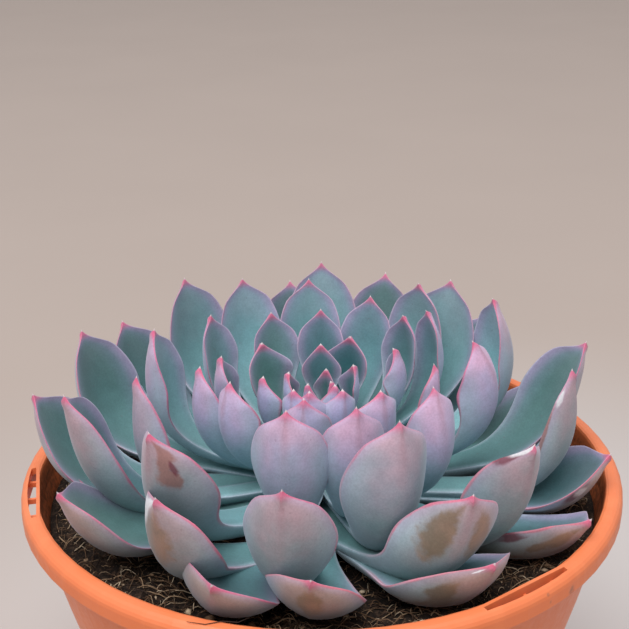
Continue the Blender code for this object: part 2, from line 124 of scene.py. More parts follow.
# Leaves longer or shorter, and wider or narrower, than their rank.
LONG_LEAVES = {
    9: 0.97, 15: 1.03, 18: 1.045, 20: 0.965, 21: 1.04, 26: 1.03, 33: 0.985, 40: 1.04,
    43: 1.015, 44: 0.985, 48: 1.03, 51: 0.985, 52: 1.04, 56: 1.04, 60: 1.01, 68: 1.02, 69: 0.9,
}
WIDE_LEAVES = {
    10: 1.2, 12: 1.2, 13: 1.05, 14: 1.05, 16: 1.15, 18: 0.94, 21: 0.65, 25: 0.85, 26: 1.04,
    29: 0.93, 31: 0.76, 32: 1.06, 35: 0.75, 37: 1.05, 39: 0.85, 40: 1.13, 44: 1.15, 53: 1.13,
    63: 1.15, 66: 1.18, 68: 1.05,
}

# Leaves whose tips lean in or out, and leaves rolled about their rib, in degrees.
LEANING_LEAVES = {
    10: 14, 13: 22, 14: 6, 18: 16, 26: 24, 29: 10, 31: 20, 35: -5, 36: 14, 39: 16, 40: -12,
    47: 2, 48: -10, 52: -9, 53: -3, 55: -8,
}
ROLLED_LEAVES = {
    9: 10, 12: -15, 13: -30, 14: 8, 24: 4, 26: -28, 29: -10, 31: -8, 35: -10, 37: 4, 39: -8,
    40: -10, 43: -22, 44: 8, 45: -8, 47: -8, 48: -8, 50: -20, 51: -8, 52: 8, 53: -16, 55: -12,
    56: -22, 58: -12, 60: 8, 61: -8, 63: -4, 64: -8, 66: -15, 68: -16,
}

# Leaves less hollow than their rank, leaves and necks bowed to one side, in millimetres, and
# leaves that leave the stem more steeply, in degrees.
FLAT_LEAVES = {47: 0.5, 53: 0.72, 58: 0.6, 63: 0.8, 66: 0.85}
BOWED_LEAVES = {
    31: 0.9, 36: 0.6, 37: 0.9, 39: 0.6, 40: 2.8, 45: 0.8, 50: 3.6, 53: 3.2, 63: 5, 66: 6, 68: 2.2,
}
BOWED_NECKS = {40: -3.5, 50: 7, 53: -11, 63: 6, 66: -4}
STEEP_LEAVES = {40: 4, 50: 2, 53: -0.5, 63: -0.6}

# One leaf's own form, as in the part.
MIDRIB_STEPS = 60
BEND_SEARCH = 30
NECK_SHARE = 0.40
NECK_END = 0.38
WIDEST = 0.77
TIP_ROUNDNESS = 0.6
TIP_SHARPNESS = 8
THICKNESS_SHARE = 0.25
ROOT_THICKNESS = 0.8
FULL_THICKNESS_FROM = 0.5
TIP_THINNING = 6
SHARE_OVER_RIB = 0.35
CUP_SHARE = (0.65, 0.65, 0.65, 0.65, 0.65, 0.65, 0.65, 0.65, 0.6, 0.5, 0.45)
NECK_CUP = 0.35
CUP_FROM = 0.32
FULL_CUP_FROM = 0.78
TIP_CUP = (0.35, 0.35, 0.35, 0.35, 0.35, 0.4, 0.55, 0.75, 0.85, 0.9, 0.9)
TIP_CUP_FROM = 0.78
ROLL_FROM = 0.25
ROLL_SPAN = 0.6
BOW_DELAY = 1.3
NECK_BOW_AT = 0.3
NECK_BOW_END = 0.65

# What the fine leaves add: closer stations, rounder margins, a drawn-out point and a keel.
STATION_COUNT = 46
STATION_CROWDING = 1.5
OVER_POINTS = 15
UNDER_POINTS = 13
MARGIN_ROUNDNESS = 1.4
POINT_LENGTH = 5.5 * MM
POINT_PINCH = 0.62
POINT_THICKNESS = 1.2 * MM
POINT_FULLNESS = 1.8
KEEL_RISE = 0.35 * MM
KEEL_SHARE = 0.3
KEEL_WIDTH = 0.16
KEEL_FROM = 0.6
KEEL_SPAN = 0.3

# Each fine leaf's own unevenness, drawn by chance: ripples in its margins as a share of its
# half-width, one side wider than the other, a sideways sway and a twist in degrees.
RIPPLE_COUNT = 2.2
RIPPLE_HEIGHT = 0.03
RIPPLE_START = 0.4
RIPPLE_END = 0.15
UNEVEN_WIDTH = 0.05
UNEVEN_END = 0.3
SWAY = 0.02
TWIST = 2


def smooth(share):
    """A soft step from 0 to 1."""
    share = np.clip(share, 0, 1)
    return share * share * (3 - 2 * share)


def by_rank(values, rank):
    """A table's value at a rank, between its whole ranks too."""
    return float(np.interp(rank, range(len(values)), values))


def midrib(root, tip, root_angle, tip_angle, span):
    """A leaf's midrib in its upright plane, as in the part: radius, height, angle and length."""
    chord = math.atan2(tip[1] - root[1], tip[0] - root[0])
    middle = (np.arange(MIDRIB_STEPS) + 0.5) / MIDRIB_STEPS

    def walk(bend):
        turn = smooth((middle - bend) / span + 0.5)
        angle = np.radians(root_angle + (tip_angle - root_angle) * turn)
        x = np.concatenate(([0], np.cumsum(np.cos(angle)))) / MIDRIB_STEPS
        z = np.concatenate(([0], np.cumsum(np.sin(angle)))) / MIDRIB_STEPS
        return x, z, np.concatenate(([math.radians(root_angle)], angle))

    early, late = -1, 2
    for _ in range(BEND_SEARCH):
        bend = (early + late) / 2
        x, z, angle = walk(bend)
        if math.atan2(z[-1], x[-1]) > chord:
            early = bend
        else:
            late = bend
    x, z, angle = walk(bend)
    length = math.hypot(tip[0] - root[0], tip[1] - root[1]) / math.hypot(x[-1], z[-1])
    return root[0] + length * x, root[1] + length * z, angle, length


def width_share(share):
    """A leaf's width along its length, as a share: narrow neck, then spoon."""
    rising = NECK_SHARE + (1 - NECK_SHARE) * smooth((share - NECK_END) / (WIDEST - NECK_END))
    past = np.clip((share - WIDEST) / (1 - WIDEST), 0, 1)
    return np.where(share < WIDEST, rising, (1 - past ** 2) ** TIP_ROUNDNESS * (1 - past ** TIP_SHARPNESS))


def neck_bow(share):
    """How much of its sideways bow the neck has, most at NECK_BOW_AT."""
    falling = smooth((share - NECK_BOW_AT) / (NECK_BOW_END - NECK_BOW_AT))
    return smooth(share / NECK_BOW_AT) * (1 - falling)


def cup_share(share, rank):
    """How hollow a leaf is along its length, as a share."""
    opening = NECK_CUP + (1 - NECK_CUP) * smooth((share - CUP_FROM) / (FULL_CUP_FROM - CUP_FROM))
    closing = 1 - by_rank(TIP_CUP, rank)
    return opening * (1 - closing * smooth((share - TIP_CUP_FROM) / (1 - TIP_CUP_FROM)))


def leaf_place(number):
    """Azimuth in degrees and rank of a leaf, counted from the heart."""
    turn, shift = STRAY_LEAVES.get(number, (0, 0))
    rank = OUTER_RANK * ((number + FIRST_NUMBER) / LEAF_COUNT) ** RANK_POWER + shift
    return FIRST_AZIMUTH - DIVERGENCE * number + turn, min(OUTER_RANK, rank)


def root_place(rank):
    """Where a leaf starts inside the stem: radius, and height above the rim."""
    share = rank / OUTER_RANK
    height = APEX_HEIGHT + (LOWEST_ROOT - APEX_HEIGHT) * (1 - (1 - share) ** 2)
    return ROOT_DEPTH * STEM_RADIUS * share ** ROOT_SPREAD, height


def thickness(width, share):
    """A leaf's thickness along its length, down to nothing at the tip."""
    opening = ROOT_THICKNESS + (1 - ROOT_THICKNESS) * smooth(share / FULL_THICKNESS_FROM)
    return width * THICKNESS_SHARE * opening * (1 - share ** TIP_THINNING)


# How pink single leaves' margins are: clockwise one, seen from above, and the other.
PINK_MARGINS = {
    32: (0.4, 0.75), 40: (0.15, 1), 45: (0.35, 1), 47: (0.35, 0.4), 50: (1, 0.85), 53: (0.5, 1),
    58: (0.8, 1), 63: (1, 0.5), 66: (0.7, 0.9), 68: (0.9, 0.3),
}
PINK_PLAIN = 0.55
PINK_SWING = 0.4
PINK_FROM = 0.84
PINK_REACH = 0.4
PINK_SPAN = 0.25


def blush(number, azimuth, share, across):
    """How pink the margin is: most on the one nearer the front, and least low down."""
    swing = PINK_SWING * math.sin(math.radians(azimuth - 270))
    left, right = PINK_MARGINS.get(number, (PINK_PLAIN + swing, PINK_PLAIN - swing))
    strength = np.where(across < 0, left, right)
    return strength * smooth((share - PINK_FROM + PINK_REACH * strength) / PINK_SPAN)


# Marks on single leaves: face (1 hollow, -1 outer), place along and across, and half-sizes.
# Across runs from -1 at the clockwise margin, seen from above, to 1.
BROWN_MARKS = {
    40: ((-1, 0.945, 0.62, 0.035, 0.25), (-1, 0.91, 0.43, 0.045, 0.18), (-1, 0.87, 0.38, 0.04, 0.16),
         (-1, 0.86, 0.62, 0.035, 0.12)),
    47: ((-1, 0.80, -1.0, 0.15, 0.07),),
    50: ((-1, 0.86, -0.48, 0.12, 0.34), (-1, 0.85, 0.45, 0.10, 0.34)),
    53: ((-1, 0.85, -0.10, 0.12, 0.55),),
    58: ((-1, 0.89, 0.0, 0.08, 0.4),),
    63: ((-1, 0.86, -0.67, 0.07, 0.17), (-1, 0.75, -0.42, 0.13, 0.30), (-1, 0.66, -0.76, 0.07, 0.10)),
    68: ((-1, 0.83, -0.62, 0.055, 0.14), (-1, 0.70, -0.43, 0.07, 0.17), (-1, 0.90, -0.50, 0.06, 0.25)),
}
PALE_MARKS = {
    47: ((-1, 0.93, -0.88, 0.03, 0.14),),
    53: ((-1, 0.92, -0.64, 0.10, 0.32),),
    55: ((-1, 0.975, -0.95, 0.035, 0.30), (1, 0.975, -0.95, 0.035, 0.30)),
    60: ((-1, 0.87, -0.84, 0.036, 0.14),),
    63: ((-1, 0.96, -0.78, 0.016, 0.10),),
}
PURPLE_MARKS = {
    40: ((-1, 0.90, 0.62, 0.03, 0.11),),
    52: ((-1, 0.78, -0.95, 0.16, 0.14),),
    55: ((-1, 0.955, -0.92, 0.05, 0.22),),
    60: ((-1, 0.85, -0.86, 0.08, 0.13),),
    64: ((-1, 0.80, 0.90, 0.18, 0.16),),
    68: ((-1, 0.77, -0.93, 0.08, 0.09),),
}


def mark_depth(marks, along, across, face):
    """How far inside a leaf's marks each point lies: 1 at a mark's middle, 0 at its edge."""
    depth = np.full(along.shape, -1.0)
    for side, middle, place, long_half, wide_half in marks:
        away = np.hypot((along - middle) / long_half, (across - place) / wide_half)
        away = np.where(face * side < 0, 2, away)
        depth = np.maximum(depth, 1 - away)
    return depth


def band(first, second, count, turned=False):
    """Quads between two rings of points, given the numbers of the rings' first points."""
    quads = []
    for n in range(count):
        m = (n + 1) % count
        quad = (first + n, first + m, second + m, second + n)
        if turned:
            quad = (first + n, second + n, second + m, first + m)
        quads.append(quad)
    return quads


def leaf_rib(number, rank):
    """A leaf's midrib, as in the part."""
    longer = LONG_LEAVES.get(number, 1)
    tip = (longer * by_rank(TIP_REACH, rank), longer * by_rank(TIP_HEIGHT, rank))
    root_angle = by_rank(ROOT_ANGLE, rank) + STEEP_LEAVES.get(number, 0)
    tip_angle = by_rank(TIP_ANGLE, rank) + LEANING_LEAVES.get(number, 0)
    return midrib(root_place(rank), tip, root_angle, tip_angle, by_rank(BEND_SPAN, rank))


def section_points():
    """Angles of the points around a leaf's cross-section, with 1 on its hollow face, else -1."""
    over = np.linspace(-90, 90, OVER_POINTS)
    under = np.linspace(90, -90, UNDER_POINTS + 2)[1:-1]
    face = np.concatenate((np.ones(OVER_POINTS), -np.ones(UNDER_POINTS)))
    return np.radians(np.concatenate((over, under)))[None, :], face[None, :]


def leaf_sections(number, rank, share, to_tip, strays, waves):
    """How far a leaf's points lie beside its midrib and above it, at every station."""
    twist, sway, uneven, ripple = strays
    width = by_rank(LEAF_WIDTH, rank) * WIDE_LEAVES.get(number, 1)
    pinch = 1 - POINT_PINCH * (1 - smooth(to_tip / POINT_LENGTH))
    half = width / 2 * width_share(share) * pinch
    thick = np.maximum(thickness(width, share), np.minimum(POINT_THICKNESS, POINT_FULLNESS * half))
    cup = by_rank(CUP_SHARE, rank) * FLAT_LEAVES.get(number, 1) * half * cup_share(share, rank)

    around, face = section_points()
    across = np.sin(around)
    body = np.abs(np.cos(around)) ** MARGIN_ROUNDNESS
    lift = cup * across ** 2
    lift = lift + np.where(face > 0, SHARE_OVER_RIB, SHARE_OVER_RIB - 1) * thick * body
    keel = smooth((share - KEEL_FROM) / KEEL_SPAN) * np.exp(-(across / KEEL_WIDTH) ** 2)
    keel = keel * np.minimum(KEEL_RISE, KEEL_SHARE * half)
    lift = lift - np.where(face < 0, keel, 0)
    phase = np.where(across < 0, *waves) * 2 * math.pi
    ripples = np.sin(2 * math.pi * share * (RIPPLE_COUNT + ripple) + phase) * np.abs(across) ** 3
    ripples = RIPPLE_HEIGHT * half * ripples * smooth(share / RIPPLE_START)
    lift = lift + ripples * smooth((1 - share) / RIPPLE_END)
    lopsided = UNEVEN_WIDTH * uneven * np.sign(across) * smooth((1 - share) / UNEVEN_END)
    sideways = across * half * (1 + lopsided)

    roll = np.radians(ROLLED_LEAVES.get(number, 0) + TWIST * twist)
    roll = roll * smooth((share - ROLL_FROM) / ROLL_SPAN)
    wide = sideways * np.cos(roll) - lift * np.sin(roll)
    deep = sideways * np.sin(roll) + lift * np.cos(roll)
    wide = wide + sway * SWAY * width * np.sin(math.pi * share) ** 2
    wide = wide - BOWED_LEAVES.get(number, 0) * MM * np.sin(math.pi * share ** BOW_DELAY) ** 2
    wide = wide - BOWED_NECKS.get(number, 0) * MM * neck_bow(share)
    return across, face, wide, deep


def leaf_points(rib, azimuth, share, wide, deep):
    """Cross-sections set along the midrib and turned to the leaf's azimuth, and then its tip."""
    grid = np.linspace(0, 1, MIDRIB_STEPS + 1)
    radius, height, angle = [np.interp(share, grid, values) for values in rib[:3]]
    flat_radius = radius - deep * np.sin(angle)
    turn = math.radians(azimuth)
    out = (math.cos(turn), math.sin(turn))
    x = out[0] * flat_radius - out[1] * wide
    y = out[1] * flat_radius + out[0] * wide
    z = POT_HEIGHT + height + deep * np.cos(angle)
    end = (rib[0][-1] * out[0], rib[0][-1] * out[1], POT_HEIGHT + rib[1][-1])
    return np.concatenate((np.stack((x, y, z), 2).reshape(-1, 3), [end]))


def edge_distance(wide, deep):
    """How far the points of each cross-section lie from the nearer margin, along the surface."""
    steps = np.hypot(np.diff(wide, axis=1), np.diff(deep, axis=1))
    run = np.concatenate((np.zeros((len(wide), 1)), np.cumsum(steps, axis=1)), 1)
    far = run[:, OVER_POINTS - 1:OVER_POINTS]
    whole = run[:, -1:] + np.hypot(wide[:, :1] - wide[:, -1:], deep[:, :1] - deep[:, -1:])
    return np.minimum(np.minimum(np.abs(run - far), run), whole - run)


def per_point(parts, at_tip):
    """A vector for each point of a leaf: three grids side by side, and the tip's own."""
    grid = np.stack(np.broadcast_arrays(*parts), 2).reshape(-1, 3)
    return np.concatenate((grid, [at_tip]))


def leaf_surface(number, rng):
    """One fine leaf: points, faces and, for the finish, where each point lies on it."""
    azimuth, rank = leaf_place(number)
    rib = leaf_rib(number, rank)
    strays = rng.uniform(-1, 1, 4)
    *waves, tone, tint = rng.uniform(0, 1, 4)
    share = 1 - (1 - np.linspace(0, 1, STATION_COUNT)) ** STATION_CROWDING
    share = share[:-1, None]
    to_tip = (1 - share) * rib[3]
    across, face, wide, deep = leaf_sections(number, rank, share, to_tip, strays, waves)
    points = leaf_points(rib, azimuth, share, wide, deep)

    rings, count = wide.shape
    faces = []
    for k in range(rings - 1):
        faces += band(k * count, (k + 1) * count, count)
    last = (rings - 1) * count
    faces += [(last + k, last + (k + 1) % count, len(points) - 1) for k in range(count)]
    faces.append(tuple(reversed(range(count))))

    side = np.where(np.isclose(np.abs(across), 1), 0, face)
    place = per_point((share, across, side), (1, 0, 0))
    pink = blush(number, azimuth, share, across)
    reach = per_point((edge_distance(wide, deep) / MM, to_tip / MM, pink), (0, 0, 1))
    tables = (BROWN_MARKS, PALE_MARKS, PURPLE_MARKS)
    marks = [mark_depth(table.get(number, ()), *place.T) for table in tables]
    layers = {
        "leaf_place": place,
        "leaf_reach": reach,
        "leaf_kind": np.broadcast_to((tone, tint, rank / OUTER_RANK), reach.shape),
        "leaf_marks": np.stack(marks, 1),
    }
    return points, faces, layers


def piece(name, points, faces, layers=None):
    """A smooth-shaded mesh object. Each layer is a vector for every point."""
    mesh = bpy.data.meshes.new(name)
    mesh.from_pydata([tuple(p) for p in points], [], faces)
    for layer, values in (layers or {}).items():
        made = mesh.attributes.new(layer, "FLOAT_VECTOR", "POINT")
        made.data.foreach_set("vector", np.asarray(values, np.float32).ravel())
    mesh.update()
    mesh.shade_smooth()
    made = bpy.data.objects.new(name, mesh)
    bpy.context.scene.collection.objects.link(made)
    return made


def joined(shapes):
    """Several (points, faces, layers) as one."""
    points, faces, layers = [], [], {}
    start = 0
    for some_points, some_faces, some_layers in shapes:
        points.append(np.asarray(some_points))
        faces += [tuple(start + k for k in face) for face in some_faces]
        for layer, values in some_layers.items():
            layers.setdefault(layer, []).append(values)
        start += len(some_points)
    return np.concatenate(points), faces, {layer: np.concatenate(v) for layer, v in layers.items()}


def linear(red, green, blue):
    """A display colour, 0 to 255, as linear light."""
    return tuple(((v / 255 + 0.055) / 1.055) ** 2.4 for v in (red, green, blue)) + (1,)


class Finish:
    """A procedural material under construction. Sockets and plain numbers both work as inputs."""

    def __init__(self, name, roughness, specular):
        self.material = bpy.data.materials.new(name)
        self.material.use_nodes = True
        self.tree = self.material.node_tree
        self.shader = self.tree.nodes["Principled BSDF"]
        self.shader.inputs["Roughness"].default_value = roughness
        self.shader.inputs["Specular IOR Level"].default_value = specular

    def put(self, value, socket):
        if isinstance(value, bpy.types.NodeSocket):
            self.tree.links.new(value, socket)
        else:
            socket.default_value = value

    def parts(self, vector):
        split = self.tree.nodes.new("ShaderNodeSeparateXYZ")
        self.tree.links.new(vector, split.inputs[0])
        return split.outputs[0], split.outputs[1], split.outputs[2]

    def layer(self, name):
        """The three parts of a vector layer on the mesh."""
        source = self.tree.nodes.new("ShaderNodeAttribute")
        source.attribute_name = name
        return self.parts(source.outputs["Vector"])

    def here(self, stretch=(1, 1, 1)):
        """The point's own coordinates, stretched."""
        source = self.tree.nodes.new("ShaderNodeTexCoord")
        mapping = self.tree.nodes.new("ShaderNodeMapping")
        mapping.inputs["Scale"].default_value = stretch
        self.tree.links.new(source.outputs["Object"], mapping.inputs["Vector"])
        return mapping.outputs[0]

    def vector(self, x, y, z):
        made = self.tree.nodes.new("ShaderNodeCombineXYZ")
        for value, socket in zip((x, y, z), made.inputs):
            self.put(value, socket)
        return made.outputs[0]

    def cloud(self, size, detail, stretch=(1, 1, 1), rough=0.5):
        """Noise from 0 to 1, with lumps of about the given size."""
        made = self.tree.nodes.new("ShaderNodeTexNoise")
        made.inputs["Scale"].default_value = 1 / size
        made.inputs["Detail"].default_value = detail
        made.inputs["Roughness"].default_value = rough
        self.put(self.here(stretch), made.inputs["Vector"])
        return made.outputs[0]

    def distance(self, where, place):
        made = self.tree.nodes.new("ShaderNodeVectorMath")
        made.operation = "DISTANCE"
        self.put(where, made.inputs[0])
        made.inputs[1].default_value = place
        return made.outputs["Value"]

    def from_axis(self):
        """Distance from the pot's axis."""
        return self.distance(self.here((1, 1, 0)), (0, 0, 0))

    def math(self, operation, a, b=0.0):
        made = self.tree.nodes.new("ShaderNodeMath")
        made.operation = operation
        self.put(a, made.inputs[0])
        self.put(b, made.inputs[1])
        return made.outputs[0]

    def plus(self, a, b):
        return self.math("ADD", a, b)

    def times(self, product, *others):
        for other in others:
            product = self.math("MULTIPLY", product, other)
        return product

    def swing(self, cloud, width):
        """Noise moved to lie around 0, and as wide as given."""
        return self.times(self.math("SUBTRACT", cloud, 0.5), width)

    def rise(self, value, low, high, bottom=0.0, top=1.0):
        """A soft step, from bottom at low to top at high."""
        made = self.tree.nodes.new("ShaderNodeMapRange")
        made.interpolation_type = "SMOOTHSTEP"
        for number, socket in zip((value, low, high, bottom, top), made.inputs):
            self.put(number, socket)
        return made.outputs[0]

    def blend(self, share, a, b, kind="MIX"):
        made = self.tree.nodes.new("ShaderNodeMix")
        made.data_type = "RGBA"
        made.blend_type = kind
        made.clamp_factor = True
        self.put(share, made.inputs[0])
        self.put(a, made.inputs[6])
        self.put(b, made.inputs[7])
        return made.outputs[2]

    def wash(self, under, tone, *shares):
        """A tone laid over a colour, as strongly as the product of the shares says."""
        return self.blend(self.times(*shares), under, tone)

    def shade(self, colour, value):
        """A colour made darker or lighter by a factor."""
        return self.blend(1.0, colour, self.vector(value, value, value), "MULTIPLY")

    def ramp(self, value, *stops):
        """Display colours along a value: each stop's place, red, green and blue."""
        made = self.tree.nodes.new("ShaderNodeValToRGB")
        elements = made.color_ramp.elements
        while len(elements) < len(stops):
            elements.new(0.5)
        for element, (position, *colour) in zip(elements, stops):
            element.position = position
            element.color = linear(*colour)
        self.put(value, made.inputs[0])
        return made.outputs[0]

    def bump(self, height, depth, strength):
        made = self.tree.nodes.new("ShaderNodeBump")
        made.inputs["Strength"].default_value = strength
        made.inputs["Distance"].default_value = depth
        self.put(height, made.inputs["Height"])
        self.tree.links.new(made.outputs[0], self.shader.inputs["Normal"])

    def roughness(self, value):
        self.put(value, self.shader.inputs["Roughness"])

    def colour(self, value):
        self.put(value, self.shader.inputs["Base Color"])
        return self.material


class LeafFinish(Finish):
    """Waxy bloom over blue-green flesh: mauve outer faces, pink margins and points."""

    def __init__(self):
        super().__init__("leaf_bloom", 0.6, 0.35)
        self.along, self.across, self.side = self.layer("leaf_place")
        self.edge, self.to_tip, self.pink = self.layer("leaf_reach")
        self.tone, self.tint, self.rank = self.layer("leaf_kind")
        self.brown, self.pale, self.purple = self.layer("leaf_marks")
        self.drift = self.cloud(9 * MM, 3)
        self.patchy = self.cloud(2.5 * MM, 3)
        self.grain = self.cloud(0.45 * MM, 2)
        self.level = self.plus(self.along, self.swing(self.drift, 0.35))
        self.upper = self.rise(self.along, 0.46, 0.86)
        self.on_hollow = self.rise(self.side, -0.1, 0.1)

    def outer_faces(self):
        """Blue-green at the root, mauve towards the tip and browner on the oldest leaves."""
        young = self.ramp(self.level, (0.3, 122, 160, 168), (0.6, 146, 170, 186),
                          (0.8, 182, 170, 200), (0.96, 206, 165, 192))
        grown = self.ramp(self.level, (0.3, 99, 141, 138), (0.6, 116, 148, 148),
                          (0.8, 137, 144, 149), (0.97, 172, 145, 153))
        old = self.ramp(self.level, (0.3, 90, 122, 108), (0.62, 118, 134, 120),
                        (0.84, 148, 133, 126), (0.97, 164, 136, 130))
        colour = self.blend(self.rise(self.rank, 0.4, 0.7), young, grown)
        colour = self.blend(self.rise(self.rank, 0.78, 0.92), colour, old)
        colour = self.wash(colour, linear(178, 180, 220), self.rise(self.rank, 0.34, 0.14, 0, 0.6))
        beside = self.math("ABSOLUTE", self.across)
        keel = self.times(self.rise(beside, 0.22, 0.02), self.rise(self.to_tip, 18, 3))
        colour = self.wash(colour, linear(156, 112, 122), keel, 0.34)
        cool = self.times(self.rise(beside, 0.45, 0.95), self.rise(self.along, 0.98, 0.8))
        return self.wash(colour, linear(172, 196, 206), cool, 0.55)

    def hollow_faces(self):
        """Deeper teal, darkest in the heart and darker on the oldest leaves, partly from less bloom and
        partly painted shade.
        """
        # Partly painted shade: the heart's dark tones and the oldest leaves' darker tones.
        heart = self.ramp(self.level, (0.2, 32, 78, 80), (0.7, 46, 94, 98), (0.95, 76, 114, 122))
        grown = self.ramp(self.level, (0.1, 112, 150, 150), (0.4, 134, 178, 182),
                          (0.75, 140, 188, 194), (0.95, 158, 184, 194))
        old = self.ramp(self.level, (0.1, 110, 152, 156), (0.4, 94, 138, 144),
                        (0.75, 70, 106, 110), (0.95, 90, 112, 118))
        colour = self.blend(self.rise(self.rank, 0.24, 0.66), heart, grown)
        colour = self.blend(self.rise(self.rank, 0.6, 0.78), colour, old)
        return self.wash(colour, linear(112, 146, 128), self.tint, 0.3)

    def margins(self, colour):
        """Lilac haze, a pale rim low down, a painted highlight along the margin on the hollow side, and a
        pink line that is strongest near the point.
        """
        haze = self.times(self.rise(self.edge, 3.4, 0.4), self.upper)
        haze = self.times(haze, self.plus(0.3, self.times(self.on_hollow, 0.3)))
        colour = self.wash(colour, linear(178, 148, 184), haze)
        veil = self.times(self.rise(self.edge, 6.5, 0.8), self.upper, self.on_hollow)
        veil = self.times(veil, self.rise(self.rank, 0.1, 0.35))
        colour = self.wash(colour, linear(160, 164, 196), veil, 0.3)
        rim = self.times(self.rise(self.edge, 1.5, 0.2), self.rise(self.along, 0.86, 0.6))
        colour = self.wash(colour, linear(186, 204, 216), rim, 0.4)
        line = self.rise(self.plus(self.edge, self.swing(self.drift, 1.6)), 0.85, 0.15)
        strength = self.times(self.pink, self.rise(self.patchy, 0.25, 0.65, 0.6, 1))
        pink = self.blend(self.tone, linear(204, 92, 130), linear(202, 102, 118))
        colour = self.wash(colour, pink, line, strength, 0.88)
        # Painted highlight: a thin pale line along the margin on the hollow side.
        painted_edge_highlight = self.times(self.rise(self.side, 0.0, 0.5), self.rise(self.edge, 0.5, 0.1))
        colour = self.wash(colour, linear(206, 206, 222), painted_edge_highlight, 0.45)
        colour = self.wash(colour, linear(202, 88, 120), self.rise(self.to_tip, 3.0, 0.9), 0.75)
        return self.wash(colour, linear(216, 204, 204), self.rise(self.to_tip, 0.75, 0.3))

    def scars(self, colour):
        """Sunburn, bruises and pale scars on single leaves, with soft, ragged edges."""
        ragged = self.swing(self.cloud(2.5 * MM, 4, rough=0.6), 0.8)
        burnt = self.rise(self.plus(self.brown, ragged), -0.04, 0.42)
        tan = self.rise(self.drift, 0.35, 0.65)
        tone = self.blend(tan, linear(110, 84, 46), linear(142, 108, 74))
        tone = self.blend(self.rise(self.rank, 0.73, 0.8), linear(142, 92, 78), tone)
        colour = self.wash(colour, tone, burnt, 0.72)
        bruise = self.rise(self.plus(self.purple, self.times(ragged, 0.7)), 0.0, 0.5)
        colour = self.wash(colour, linear(106, 46, 58), bruise, 0.85)
        scar = self.rise(self.plus(self.pale, self.times(ragged, 0.6)), 0.05, 0.5)
        return self.wash(colour, linear(222, 224, 226), scar, 0.75)

    def mottle(self, colour):
        """Powdery bloom, each leaf a little lighter or darker, with a few dark specks."""
        value = self.rise(self.grain, 0.3, 0.7, 0.93, 1.05)
        value = self.times(value, self.rise(self.patchy, 0.3, 0.7, 0.95, 1.04))
        value = self.times(value, self.plus(0.95, self.times(self.tone, 0.1)))
        speck = self.rise(self.cloud(0.9 * MM, 0), 0.80, 0.83)
        return self.wash(self.shade(colour, value), linear(110, 80, 90), speck, 0.2)


def leaf_finish():
    """The leaves' material: the colour in layers, a soft sheen and a powdery relief."""
    f = LeafFinish()
    colour = f.blend(f.on_hollow, f.outer_faces(), f.hollow_faces())
    colour = f.margins(colour)
    colour = f.scars(colour)
    colour = f.mottle(colour)
    f.roughness(f.rise(f.patchy, 0.3, 0.7, 0.56, 0.66))
    f.shader.inputs["Sheen Weight"].default_value = 0.25
    f.shader.inputs["Sheen Roughness"].default_value = 0.45
    f.shader.inputs["Sheen Tint"].default_value = (0.85, 0.9, 1, 1)
    f.bump(f.plus(f.grain, f.times(f.patchy, 1.5)), 0.03 * MM, 0.5)
    return f.colour(colour)


def stem_finish():
    """Dull green bark with brown bands."""
    f = Finish("stem_bark", 0.75, 0.3)
    rings = f.cloud(3 * MM, 3, (0.4, 0.4, 2))
    colour = f.blend(f.rise(rings, 0.35, 0.65), linear(96, 112, 88), linear(120, 104, 80))
    f.bump(rings, 0.3 * MM, 0.5)
    return f.colour(colour)


# Soil dust and painted shade on the pot's inner wall: its radius at the mouth, and its height,
# where it starts and where it is full.
DUST_AND_SHADE_RADII = (66.2 * MM, 65.8 * MM)
DUST_AND_SHADE_HEIGHTS = (94.5 * MM, 91 * MM)

# Smudges on the rim's outside: place, radius and strength.
SMUDGES = (
    ((50.5 * MM, -48.5 * MM, 90.9 * MM), 1.5 * MM, 0.6),
    ((44.7 * MM, -53.8 * MM, 93.5 * MM), 0.6 * MM, 0.6),
    ((45.3 * MM, -53.3 * MM, 91.5 * MM), 0.5 * MM, 0.5),
)


def pot_finish():
    """Terracotta-orange moulded plastic, faintly streaked, with soil dust and painted shade inside its
    mouth.
    """
    f = Finish("pot_plastic", 0.42, 0.45)
    where = f.here()
    fine = f.cloud(1.2 * MM, 3)
    streaks = f.cloud(6 * MM, 2, (1, 1, 0.08))
    colour = f.blend(f.cloud(30 * MM, 2), linear(217, 113, 65), linear(227, 125, 79))
    colour = f.wash(colour, linear(238, 146, 98), f.rise(streaks, 0.45, 0.75), 0.2)

    # The wall's taper and bow are added back, so that the dust and painted shade stay off the outside
    # of the body.
    height = f.parts(where)[2]
    drop = f.math("MAXIMUM", f.math("SUBTRACT", POT_HEIGHT - SKIRT_DEPTH, height), 0.0)
    narrowing = f.times(f.plus(f.times(drop, BODY_BOW), BODY_TAPER), drop)
    mouth = f.plus(f.from_axis(), narrowing)
    # Soil dust and painted shade: the inner wall is darker below the mouth.
    inner = f.times(f.rise(mouth, *DUST_AND_SHADE_RADII), f.rise(height, *DUST_AND_SHADE_HEIGHTS))
    colour = f.wash(colour, linear(96, 60, 42), inner, f.rise(fine, 0.35, 0.7, 0.2, 0.75))
    for place, size, strength in SMUDGES:
        near = f.rise(f.distance(where, place), size, 0.3 * size)
        near = f.times(near, f.rise(fine, 0.35, 0.6, 0.3, 1))
        colour = f.wash(colour, linear(126, 92, 80), near, strength)
    f.roughness(f.rise(fine, 0.2, 0.8, 0.36, 0.5))
    f.bump(f.plus(f.cloud(0.5 * MM, 2), f.times(fine, 0.6)), 0.02 * MM, 0.5)
    return f.colour(colour)


# The mix is dark in the middle, where it is damp and holds painted shade under the leaves, and lighter
# between these radii towards the wall.
DAMP_AND_SHADE_RADII = (40 * MM, 56 * MM)
DAMP_AND_SHADE_FACTOR = 0.4


